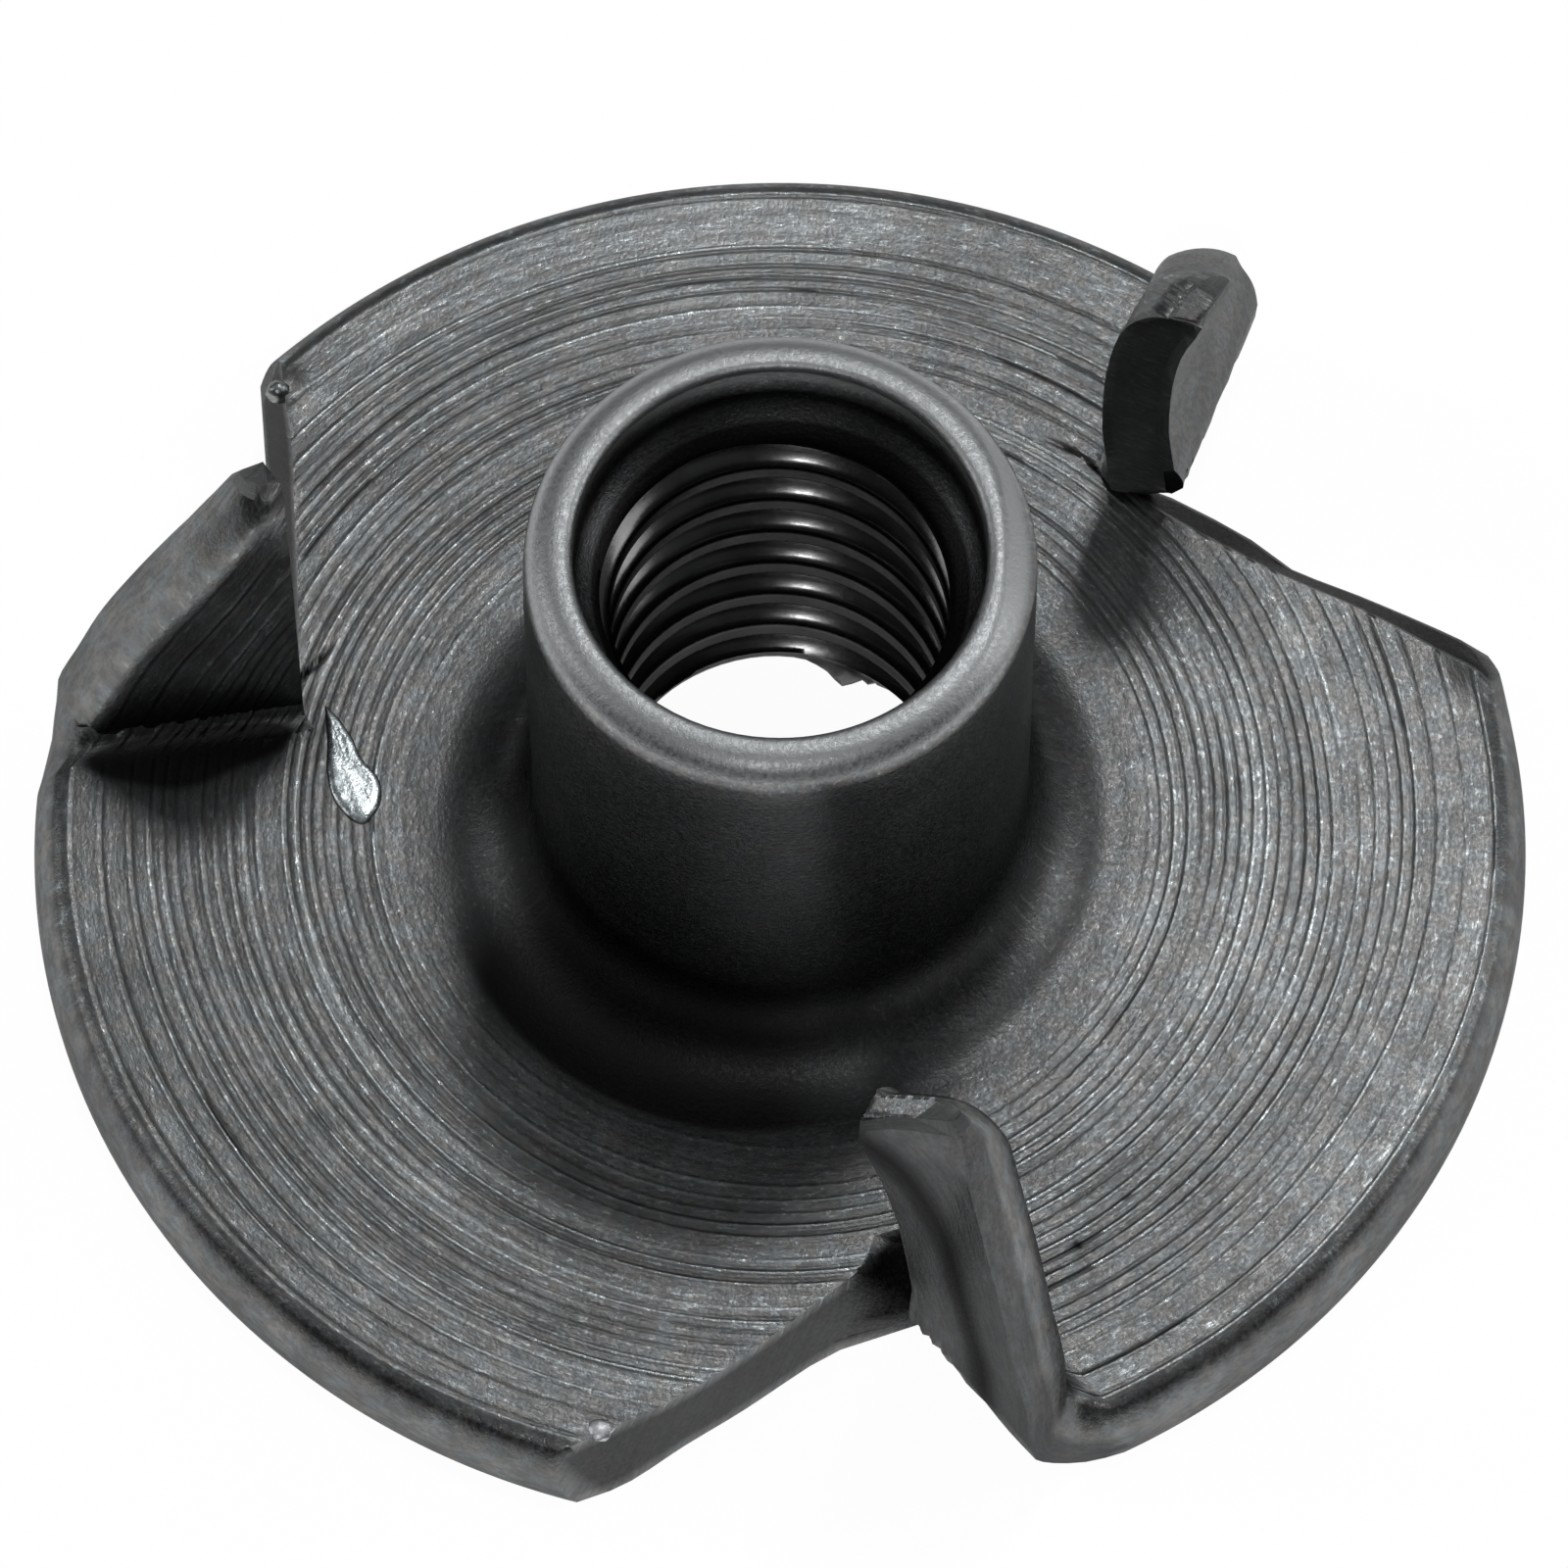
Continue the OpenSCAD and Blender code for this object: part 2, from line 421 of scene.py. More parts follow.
    def place(self, x, y, z):
        """Carries points of the flat blank (local x, y and height z) to where the bend puts them."""
        dist = np.maximum(x - prong_root, 0)
        share = np.clip(dist / self.tip_dist, 0, 1)
        total = self.length[-1]
        stretch = (total - self.bend_len) / (self.tip_dist - self.bend_len)
        s = np.where(dist < self.bend_len, dist, self.bend_len + (dist - self.bend_len) * stretch)
        cx, cz = [np.interp(s, self.length, self.line[:, i]) for i in (0, 1)]
        tx, tz = [np.interp(s, self.length, self.direction[:, i]) for i in (0, 1)]
        norm = np.hypot(tx, tz)
        up = (z - sheet_t / 2) * self.thinned(share)
        over = np.clip(y - slit_y, 0, None)
        wide = ramp(share, 0.08, 0.35) * (1 - ramp(share, 0.6, 0.95)) * np.clip(over / 2, 0, 1)
        drawn = np.clip(dist / draw_in_reach, 0, 1) * np.clip(over, 0, 1)
        py = y + self.fan * wide - draw_in * drawn
        lean = np.clip(s / total, 0, 1) ** 2.5 * (self.twist - self.sway * np.clip(over, 0, 1.5))
        return self.seat(cx - tz / norm * up + lean, py, cz + tx / norm * up)


prongs = [
    # the front prong: painted shade on its outer face
    Prong(0, bend_r=0.95, tip_w=1.2, tip_t=1.12, twist=0.8, sway=0.9, fan=0.1, painted_outer_shade=1.15, torn=0.8,
          blade=[(3.27, 2.2), (3.3, 3.2), (3.3, 4.3), (3.31, 5.3), (3.3, 6.2), (3.3, 7.6)],
          flange_top=[(2.8, 6.55), (3.2, 6.42), (3.79, 6.75), (4.65, 6.79), (5.79, 6.8),
                      (7.22, 6.72), (8.66, 6.42), (9.6, 6.2)],
          flange_low=[(2.9, 7.85), (3.3, 7.93), (4.07, 7.49), (4.79, 7.22), (6.43, 7.12),
                      (7.47, 7.02), (8.56, 6.95), (9.4, 6.7)]),
    Prong(1, bend_r=0.93, tip_w=1.2, tip_t=1.0, late=2, twist=0.3, sway=-0.15, fan=0.32, dull=0.5,
          plain=5.0, black=1.5,
          blade=[(3.2, 2.2), (3.08, 3.1), (3.02, 4.2), (3.02, 5.1), (3.08, 5.9), (3.22, 6.5), (3.47, 7.0)],
          flange_top=[(3.0, 7.22), (3.89, 6.96), (5.69, 6.67), (7.46, 6.48), (9.21, 6.09), (9.9, 5.9)],
          flange_low=[(3.0, 7.9), (3.76, 7.84), (4.95, 7.62), (5.67, 7.36), (7.09, 7.28), (8.74, 7.11),
                      (9.4, 6.85)]),
    Prong(2, bend_r=0.95, tip_w=0.6, tip_t=1.0, twist=0.25, sway=0.17,
          blade=[(3.27, 2.2), (3.29, 3.2), (3.27, 4.3), (3.29, 5.3), (3.36, 6.2), (3.52, 7.05)],
          flange_top=[(2.9, 7.02), (3.47, 6.97), (5.0, 6.81), (6.38, 6.67), (7.6, 6.56), (8.49, 6.55),
                      (9.6, 6.5)],
          flange_low=[(3.5, 7.35), (5.0, 7.2), (6.5, 7.05), (7.9, 6.97), (8.43, 6.93), (9.6, 6.85)]),
]


# ------------------------------------------------------------------ the sheet: flange and prongs
# the side where the barrel's shadow falls, painted as shade that reaches furthest and is darkest there
shadow_side_angle = math.radians(240)
# painted shade and painted light on the turned face: x, y, reach and tone. The dark ones stand for
# the prongs' shadows at their feet and beside them and for the light falling off across the face;
# the one with a negative tone is a painted lighter area
painted_shade_areas = [
    (4.3, 5.0, 1.25, 0.5), (5.84, 3.7, 0.45, 0.4), (4.47, -7.33, 0.14, 1.2), (-3.5, -8.6, 0.9, 0.25),
    (6.4, 4.1, 1.3, 0.26), (5.5, -6.3, 2.2, 0.5), (-0.7, 9.6, 2.2, -0.13), (6.6, 3.6, 1.1, 0.55),
    (-1.6, -8.2, 1.8, 0.12), (-7.8, 1.4, 0.7, 1.2), (-8.7, 1.25, 0.8, 1.2), (-9.6, 1.1, 0.8, 1.2),
    (-10.5, 1.0, 0.7, 1.2), (-9.2, 0.4, 0.9, 0.5), (-8.4, 2.8, 1.1, 0.3), (-9.8, 2.5, 1.0, 0.3),
]


def share_of(z):
    """Depth through the sheet as a share: 0 at the top face, 1 at the underside."""
    return min(1.0, max(0.0, 1 - z / edge_z))


def shadow_side(angle):
    """1 on the side where the barrel's painted shadow is darkest, 0 opposite."""
    return 0.5 + 0.5 * np.cos(angle - shadow_side_angle)


def drawn_reach_and_shade(r, angle):
    """Tone of the dark drawn metal that reaches out from the barrel's fillet onto the flange, with painted
    shade: it reaches furthest and is darkest on the side where the barrel's shadow falls.
    """
    front = shadow_side(angle)
    reach = 0.25 + 0.75 * front + 0.25 * ring_noise(angle, 0.5, 11, 12)
    return (1 - ramp(r, inner_r, inner_r + reach)) * (0.45 + 0.55 * front + 0.65 * front ** 8)


def painted_area_tone(r, angle):
    """Tone of the painted shade and painted light on the turned face."""
    total = 0 * angle
    for x, y, reach, depth in painted_shade_areas:
        away = np.hypot(r * np.cos(angle) - x, r * np.sin(angle) - y)
        total = total + depth * np.exp(-(away / reach) ** 2)
    return total


def face_height(r, angle, z, top, keep):
    """Height and ring mark of a row of points: the turned face on top, plain elsewhere."""
    if top:
        h, groove = rings(r, angle, keep)
        return z + h, groove
    return z + 0 * angle, 0 * angle


def arc_angles(k, r, share):
    """Angles of the columns between prong k's bend line and the next prong's slit."""
    here, after = prongs[k], prongs[(k + 1) % prong_count]
    start = here.angle + here.bend_turn(r, share)
    stop = here.angle + TURN / prong_count + after.slit_turn(r, share, True)
    return spread(start, stop, arc_cols)


def flange_arc(shell, rows_r, rows_z, k, top=False):
    """The flange between prong k's bend line and the next prong's slit, one row to a radius."""
    grid, marks = [], []
    for r, z in zip(rows_r, rows_z):
        angle = arc_angles(k, r, share_of(z))
        keep = prongs[(k + 1) % prong_count].ring_keep(r, (angle[-1] - angle) * r)
        h, groove = face_height(r, angle, z, top, keep)
        grid.append(lifted(turned(r, angle, h)))
        # painted shade: the barrel's shadow over the dark drawn metal's reach, and the painted shade areas
        dark = drawn_reach_and_shade(r, angle) + painted_area_tone(r, angle) if top else 0 * groove
        marks.append(np.stack([groove, 0 * groove, dark], axis=-1))
    return shell.grid(grid, np.array(marks))


def prong_face(shell, rows_r, rows_z, prong, top=False):
    """A face of a prong from its bend line to its slit edge and tip, one row to a radius."""
    grid, marks, blank = [], [], []
    for r, z in zip(rows_r, rows_z):
        share = share_of(z)
        angle = np.linspace(prong.bend_turn(r, share), prong.slit_turn(r, share, False), prong_cols + 1)
        tip = ramp(r * np.cos(angle), prong.tip_x - prong.plain, prong.tip_x - prong.plain / 2)
        keep = prong.ring_keep(r, (angle[-1] - angle) * r) * (1 - tip)
        h, groove = face_height(r, angle + prong.angle, z, top, keep)
        # painted shade: the painted shade areas on the top face, the outer face's painted shade elsewhere
        dark = painted_area_tone(r, angle + prong.angle) if top else 0 * groove + prong.painted_outer_shade_at(r, z)
        x, y = r * np.cos(angle), r * np.sin(angle)
        grid.append(prong.place(x, y, h))
        blank.append(prong.seat(x, y, h))
        marks.append(np.stack([groove, 0 * groove, dark], axis=-1))
    return shell.grid(grid, np.array(marks), np.array(blank))


def cut_point(prong, r, share, z, flange_side):
    """A point on the cut face: on the flange's side of the slit, or on the prong's."""
    angle = prong.slit_turn(r, share, flange_side)
    if flange_side:
        return lifted(turned(r, prong.angle + angle, z))
    return prong.place(np.array(r * math.cos(angle)), np.array(r * math.sin(angle)), np.array(z))


def cut_marks(prong, r, share, flange_side):
    """Marks of a point on a cut face. At the top face's edge they are the top face's own."""
    if share == 0:
        angle = prong.angle + prong.slit_turn(r, 0, flange_side)
        # at the top face's edge the painted shade areas, and on the flange's side the dark drawn metal with
        # the barrel's painted shadow
        return (0, 0, float(painted_area_tone(r, angle) + drawn_reach_and_shade(r, angle) * flange_side))
    if flange_side:
        return (0, 1, prong.black)
    at_tip = float(ramp(r, prong.tip_r - 0.5, prong.tip_r))
    return (0, max(0.45, prong.dull * (1 - at_tip)), 0)


def low_marks(prong, rows_r, rows_z, flange_side):
    """Marks of a cut face's edge at the underside and round the rim."""
    return [(0, 0, 0 if flange_side else prong.painted_outer_shade_at(r, z)) for r, z in zip(rows_r, rows_z)]


def cut_face(shell, prong, flange_side):
    """The sheared face along a slit, in levels from the top face down to the underside. The rim's
    rounded end is one face."""
    tops = outer_rows[prong.first:]
    lows = under_rows[prong.first:]
    grid, marks = [], []
    for share in np.linspace(0, 1, wall_levels + 1)[:-1]:
        row = []
        marks.append([cut_marks(prong, r, share, flange_side) for r in tops])
        for top_r, low_r in zip(tops, lows):
            r = top_r + (low_r - top_r) * share
            angle = prong.slit_turn(top_r, 0, flange_side)
            rise = float(rings(top_r, prong.angle + angle, prong.ring_keep(top_r, 0))[0])
            z = (sheet_t + rise) * (1 - share)
            row.append(cut_point(prong, r, share, z, flange_side))
        grid.append(row)
    index = shell.grid(grid, np.array(marks))
    edge_r = lows[::under_step]
    edge = [cut_point(prong, r, 1.0, 0.0, flange_side) for r in edge_r]
    low = shell.add(edge, low_marks(prong, edge_r, 0 * edge_r, flange_side))
    bays = len(lows) // under_step
    for bay in range(bays):
        above = index[-1, bay * under_step:(bay + 1) * under_step + 1]
        shell.polygon([*above, low + bay + 1, low + bay])
    rim = [cut_point(prong, r, share_of(z), z, flange_side) for r, z in zip(rim_rows_r, rim_rows_z)]
    start = shell.add(rim, low_marks(prong, rim_rows_r, rim_rows_z, flange_side))
    side = [*index[:, -1], low + bays]
    shell.polygon(side + [start + i for i in reversed(range(1, len(rim)))])


def sheet(shell):
    """The whole sheet: three flange arcs and three prongs, with their cut faces."""
    top_rows = np.concatenate([inner_rows[:-1], outer_rows])
    deep_rows = np.linspace(first_low_r, minor_r + entry_r, 9)[1:]
    for k, prong in enumerate(prongs):
        flange_arc(shell, top_rows, np.full(len(top_rows), sheet_t), k, top=True)
        flange_arc(shell, rim_rows_r, rim_rows_z, k)
        low_rows = np.concatenate([[rim_rows_r[-1]], under_rows[::-under_step], deep_rows])
        flange_arc(shell, low_rows, np.zeros(len(low_rows)), k)
        prong_rows = outer_rows[prong.first:]
        prong_face(shell, prong_rows, np.full(len(prong_rows), sheet_t), prong, top=True)
        prong_face(shell, rim_rows_r, rim_rows_z, prong)
        low_rows = np.concatenate([[rim_rows_r[-1]], under_rows[prong.first:][::-under_step]])
        prong_face(shell, low_rows, np.zeros(len(low_rows)), prong)
        cut_face(shell, prong, True)
        cut_face(shell, prong, False)


# ------------------------------------------------------------------ barrel, lip and bore
first_crest_z = 0.23         # height of a crest at crest_angle
crest_angle = math.radians(83)
crest_half = 0.15            # half a crest's flat, in pitches, and the width of a flank
flank_w = 0.3
thread_end = (7.7, 8.7)      # heights between which the thread runs out
cone_from = 7.95             # lead-in cone between the thread and the mouth
cone_to = 8.75
low_z = 0.5                  # height below which the bore is the entry's rounding alone
blend_w = 0.12               # rounding where the thread meets the cone
burr_angle = math.radians(70)
burr_z = 0.85
burr_rise = 0.34
burr_turn = 0.21             # reach of the burr round the bore, in radians, and up it
burr_up = 0.26
wall_wave = 0.012            # unevenness of the drawn wall
wear_depth = 0.1             # flat worn on the lip's right side, and its reach in radians
wear_reach = 0.42
wall_top = height - shoulder_r
lip_r = barrel_r - shoulder_r
wear_way = (math.cos(math.radians(50)), math.sin(math.radians(50)))
# shares of a pitch at which the thread's rows lie, closer together over the crest and its flanks
thread_steps = [0.0, 0.08, 0.15, 0.2, 0.25, 0.3, 0.35, 0.4, 0.45, 0.55, 0.61, 0.68, 0.75, 0.83, 0.9]
thread_turns = range(11, -3, -1)


def column_angles(share):
    """Angles of the flange's innermost columns on the top face (share 0) or the underside (1)."""
    return np.unwrap(np.concatenate([arc_angles(k, 0, share)[:-1] for k in range(prong_count)]))


def profile_rows(points, angles):
    """Rows of a turned profile, with a drawn surface's slight unevenness and a flat worn on the lip."""
    rows = []
    for r, z in points:
        wave = wall_wave * (ring_noise(angles, z * 0.9, 7, 11) - 1) * ramp(z, sheet_t, sheet_t + 1)
        worn = wear_depth * np.exp(-(((angles + math.pi) % TURN - math.pi) / wear_reach) ** 2)
        over = (r - lip_r) * wear_way[0] + (z - wall_top) * wear_way[1] - shoulder_r + worn
        over = np.clip(over, 0, None) * (z > wall_top)
        rows.append(turned(r + wave - over * wear_way[0], angles, z - over * wear_way[1]))
    return rows


def drawn_marks(points, angles):
    """Marks of a turned profile: the flange's dark drawn metal and the barrel's painted shadow at the foot,
    dark drawn metal above it, darker low on the shadow side as painted shade, and a paler lip."""
    rows = []
    for r, z in points:
        foot = 1 - ramp(z, sheet_t, sheet_t + 0.7)
        # painted shade: darker low on the barrel's wall on its shadow side
        wall = 1 + 0.45 * shadow_side(angles) ** 6 * (1 - ramp(z, sheet_t + 1.0, sheet_t + 2.5))
        if r < mouth_r + 0.2:
            wall = mouth_tone
        dark = foot * drawn_reach_and_shade(inner_r, angles) + (1 - foot) * wall
        paler_and_painted_light = ramp(z, height - 0.6, height - 0.12)
        dark = dark * (1 - paler_and_painted_light) + lip_tone * paler_and_painted_light
        rows.append(np.stack([0 * angles, 0 * angles, dark], axis=-1))
    return np.array(rows)


def bore_radius(z, angle):
    """Radius of the bore's wall: thread, lead-in cone, mouth, rounded entry and a hanging burr."""
    phase = (z - first_crest_z) / pitch - (angle - crest_angle) / TURN
    part = np.abs(phase - np.round(phase))
    flank = np.clip((part - crest_half) / flank_w, 0, 1)
    flank = flank - 0.3 * np.sin(TURN * flank) / TURN
    thread = minor_r + (major_r - minor_r) * flank * (1 - ramp(z, *thread_end))
    cone = minor_r + (mouth_r - minor_r) * ramp(z, cone_from, cone_to)
    drop = np.clip(entry_r - z, 0, entry_r)
    entry = minor_r + entry_r - np.sqrt(np.maximum(entry_r ** 2 - drop ** 2, 0))
    r = 0.5 * (thread + cone + np.hypot(thread - cone, blend_w))
    r = np.maximum(np.minimum(r, mouth_r), entry)
    turn_off = (angle - burr_angle + math.pi) % TURN - math.pi
    near = np.exp(-(turn_off / burr_turn) ** 2) * np.exp(-((z - burr_z) / burr_up) ** 2)
    ragged = 0.7 + 0.5 * noise(angle * 30, z * 4, 5)
    return r - burr_rise * near * ragged


def outer_profile():
    """Points (radius, height) up the fillet and the barrel's wall and over its lip."""
    fillet = [(inner_r + fillet_r * math.cos(t), sheet_t + fillet_r + fillet_r * math.sin(t))
              for t in np.radians(np.linspace(270, 180, 14))]
    wall = [(barrel_r, z) for z in np.linspace(sheet_t + fillet_r, wall_top, 14)[1:-1]]
    lip = [(lip_r + shoulder_r * math.cos(t), wall_top + shoulder_r * math.sin(t))
           for t in np.radians(np.linspace(0, 90, 10))]
    return fillet + wall + lip


def mouth_profile():
    """Points (radius, height) from the lip's crown down the plain mouth to the lead-in cone."""
    crown_z = height - mouth_edge_r
    crown_r = mouth_r + mouth_edge_r
    edge = [(crown_r - mouth_edge_r * math.sin(t), crown_z + mouth_edge_r * math.cos(t))
            for t in np.radians(np.linspace(0, 90, 6))]
    return edge + [(mouth_r, z) for z in np.linspace(crown_z, cone_to, 4)[1:]]


def tapped_wall(shell, half):
    """The thread as rows that climb with it, cut off level at the cone's top and at low_z."""
    around = np.concatenate([half, half[:1] + TURN])
    rows, marks = [], []
    for turn in thread_turns:
        for step in reversed(thread_steps):
            z = first_crest_z + pitch * (turn + step + (around - crest_angle) / TURN - 1)
            z = np.clip(z, low_z, cone_to)
            rows.append(turned(bore_radius(z, around), around, z))
            crest = 1 - ramp(min(step, 1 - step) + 0 * z, 0.1, 0.3)
            tapped = thread_tone - crest_less * crest
            tapped = tapped + (mouth_tone - tapped) * ramp(z, 8.0, 8.6)
            marks.append(np.stack([0 * z, 0 * z, tapped], axis=-1))
    shell.grid(rows, np.array(marks))


def entry_wall(shell, half):
    """The drawn entry, from low_z down to the underside, joined to the flange's underside."""
    count = len(half)
    flare_r = minor_r + entry_r
    start = math.asin((entry_r - low_z) / entry_r)
    rows = [turned(bore_radius(np.full(count, low_z), half), half, low_z)]
    for t in np.linspace(start, math.pi / 2, 12)[1:]:
        rows.append(turned(flare_r - entry_r * math.cos(t), half, entry_r - entry_r * math.sin(t)))
    marks = np.zeros((len(rows), count, 3))
    marks[:, :, 2] = np.linspace(thread_tone, 0, len(rows))[:, None]
    index = shell.grid(rows, marks, closed=True)
    under = column_angles(1)
    ring = shell.add(turned(flare_r, under, 0.0))
    for i in range(count):
        outer = [ring + (2 * i + n) % len(under) for n in (0, 1, 2)]
        shell.polygon([index[-1, i], *outer, index[-1, (i + 1) % count]])


def barrel(shell):
    """Fillet, barrel wall and rolled lip outside, then the mouth, the thread and the entry inside."""
    angles = column_angles(0)
    half = angles[::2]
    count = len(half)
    points = outer_profile()
    rows = profile_rows(points, angles)
    rows[0] = turned(inner_r, angles, sheet_t + rings(inner_r, angles)[0])
    outside = shell.grid(rows, drawn_marks(points, angles), closed=True)
    points = mouth_profile()
    mouth = shell.grid([turned(r, half, z) for r, z in points], drawn_marks(points, half), closed=True)
    for i in range(count):
        outer = [outside[-1, (2 * i + n) % len(angles)] for n in (0, 1, 2)]
        shell.polygon([outer[0], mouth[0, i], mouth[0, (i + 1) % count], outer[2], outer[1]])
    tapped_wall(shell, half)
    entry_wall(shell, half)


# ------------------------------------------------------------------ bead, burr and smeared flake
def lump(shell, centre, radii, yaw, seed, marks):
    """A small rounded lump, sunk into the metal it hangs on."""
    across = np.linspace(0, TURN, 17)[:-1]
    c, n = math.cos(yaw), math.sin(yaw)
    rows = []
    for up in np.linspace(-math.pi / 2, math.pi / 2, 11):
        swell = 1 + 0.18 * noise(across * 2, up * 2 + seed, seed)
        x = radii[0] * math.cos(up) * np.cos(across) * swell
        y = radii[1] * math.cos(up) * np.sin(across) * swell
        z = radii[2] * math.sin(up) * np.ones_like(across)
        rows.append(np.stack([centre[0] + x * c - y * n, centre[1] + x * n + y * c, centre[2] + z], axis=-1))
    shell.grid(rows, marks, closed=True)


flake_outline = [(-7.01, 1.8), (-6.81, 1.58), (-6.6, 1.25), (-6.45, 0.9), (-6.19, 0.56), (-6.14, 0.22),
                 (-6.26, -0.07), (-6.44, -0.2), (-6.68, -0.03), (-6.87, 0.27), (-6.96, 0.7), (-6.97, 1.2)]
flake_sunk = 0.05
# levels of the flake from its sunk edge to its middle: size as a share, and height above the face
flake_levels = [(1.03, -flake_sunk), (1.03, 0.01), (0.97, 0.03), (0.9, 0.045), (0.7, 0.05), (0.4, 0.045),
                (0.15, 0.05)]
flake_edge = 2               # levels of its dark edge
weld_reach = 2e-7            # metres; points closer than this are one
speck_reach = 1e-8           # metres; shorter edges are taken out
sharp_angle = math.radians(50)  # a steeper edge between two faces is drawn sharp


def flake(shell):
    """A thin flake of metal smeared over the rings, sunk into the face by its edge."""
    outline = through(flake_outline + flake_outline[:1])[1][:-1:3]
    middle = np.mean(flake_outline, axis=0)
    rows = []
    for size, rise in flake_levels:
        at = middle + (outline - middle) * size
        bumps = 0.012 * noise(at[:, 0] * 6, at[:, 1] * 6, 9) if rise > 0 else 0
        rows.append(np.column_stack([at, np.full(len(at), sheet_t + rise) + bumps]))
    marks = [[(1.4 if level < flake_edge else -1, 0, 0)] * len(outline) for level in range(len(rows))]
    index = shell.grid(rows, np.array(marks), closed=True)
    shell.polygon(index[0, :-1])
    shell.polygon(index[-1, :-1])


def corner_bead(shell):
    """The bead at the flange's front corner, near white as a painted highlight."""
    lump(shell, (-2.69, -10.33, 1.0), (0.21, 0.19, 0.09), yaw=0.0, seed=3, marks=(-1, 0, bead_highlight_tone[1]))


def corner_burr(shell):
    """The burr that stands at the left slit's corner."""
    lump(shell, (-7.86, 7.36, 1.08), (0.2, 0.18, 0.2), yaw=0.7, seed=2, marks=(-0.3, 0, 0))


def to_object(shell, name, material):
    """Welds the shell into one mesh object in metres."""
    mesh = bpy.data.meshes.new(name)
    mesh.from_pydata((np.concatenate(shell.points) * MM).tolist(), [], shell.faces)
    for label, rows in (("marks", shell.marks), ("blank", shell.blanks)):
        layer = mesh.attributes.new(label, "FLOAT_VECTOR", "POINT")
        layer.data.foreach_set("vector", np.concatenate(rows).ravel())
    bm = bmesh.new()
    bm.from_mesh(mesh)
    bmesh.ops.remove_doubles(bm, verts=bm.verts, dist=weld_reach)
    bmesh.ops.dissolve_degenerate(bm, edges=bm.edges, dist=speck_reach)
    bmesh.ops.recalc_face_normals(bm, faces=bm.faces)
    bm.to_mesh(mesh)
    bm.free()
    mesh.polygons.foreach_set("use_smooth", [True] * len(mesh.polygons))
    mesh.set_sharp_from_angle(angle=sharp_angle)
    mesh.materials.append(material)
    obj = bpy.data.objects.new(name, mesh)
    bpy.context.scene.collection.objects.link(obj)
    return obj


# ------------------------------------------------------------------ materials
cool_steel = (0.255, 0.275, 0.285, 1)
warm_steel = (0.275, 0.27, 0.262, 1)
dirty_steel = (0.10, 0.10, 0.10, 1)
# darker in the grooves, the cracks and at the flake's edge
groove_dark = (0.03, 0.028, 0.026, 1)
# painted glints and highlights along the rings on the top face; also the pale flake and burr
pale_and_painted_glint = (0.62, 0.68, 0.7, 1)
sheared = (0.06, 0.06, 0.06, 1)
# dark drawn metal, which also serves as painted shade for the barrel's shadow and the prongs' shadows
drawn_dark_and_shade = (0.06, 0.062, 0.064, 1)
# paler metal on the lip and the bead, and painted light on one area of the turned face
paler_and_painted_light = (0.53, 0.545, 0.555, 1)
# black: darkest sheared face and thread crests, and painted shade at prong A's foot and on the front prong's
# outer face
black_and_painted_shade = (0.028, 0.028, 0.029, 1)
# near white: the bead's painted highlight
bead_painted_highlight = (0.85, 0.87, 0.9, 1)
oily_dark = (0.09, 0.09, 0.09, 1)
oily_pale = (0.14, 0.14, 0.14, 1)
metal_glance = (0.42, 0.42, 0.42, 1)
bump_height = 0.000012       # metres
around_scale = 34.0          # how finely the streaks change round the axis, and for each mm of
radius_scale = 15.0          # radius and of height
height_scale = 14.0
# the painted glints come in on the top face alone, between these heights
top_from = 0.85              # heights on the blank between which the top face's flecks come in
top_full = 0.98
floor_dim = (0.86, 0.86, 0.86, 1)
floor_pale = (0.88, 0.88, 0.88, 1)
floor_grain = 400.0
floor_glow = 1.07            # the glow is glow_share of what is seen, and the lit floor the rest
glow_share = 0.9


class Tree:
    """A short way to write a node tree."""

    def __init__(self, tree):
        self.tree = tree

    def node(self, kind, inputs=(), **settings):
        made = self.tree.nodes.new(kind)
        for key, value in settings.items():
            setattr(made, key, value)
        for key, value in dict(inputs).items():
            if isinstance(value, bpy.types.NodeSocket):
                self.tree.links.new(value, made.inputs[key])
            else:
                made.inputs[key].default_value = value
        return made

    def math(self, operation, a, b=0.0, c=0.0, clamp=False):
        made = self.node("ShaderNodeMath", {0: a, 1: b, 2: c}, operation=operation, use_clamp=clamp)
        return made.outputs[0]

    def mix(self, share, a, b):
        made = self.node("ShaderNodeMix", {0: share, 6: a, 7: b}, data_type="RGBA")
        return made.outputs[2]

    def ramp(self, value, low, high, to_low=0.0, to_high=1.0):
        made = self.node("ShaderNodeMapRange", {"Value": value, "From Min": low, "From Max": high,
                                                "To Min": to_low, "To Max": to_high},
                         interpolation_type="SMOOTHSTEP")
        return made.outputs[0]

    def noise(self, vector, scale, detail=2.0, roughness=0.5):
        made = self.node("ShaderNodeTexNoise", {"Vector": vector, "Scale": scale, "Detail": detail,
                                                "Roughness": roughness})
        return made.outputs["Fac"]


def new_material(name):
    material = bpy.data.materials.new(name)
    material.use_nodes = True
    material.node_tree.nodes.clear()
    return material, Tree(material.node_tree)


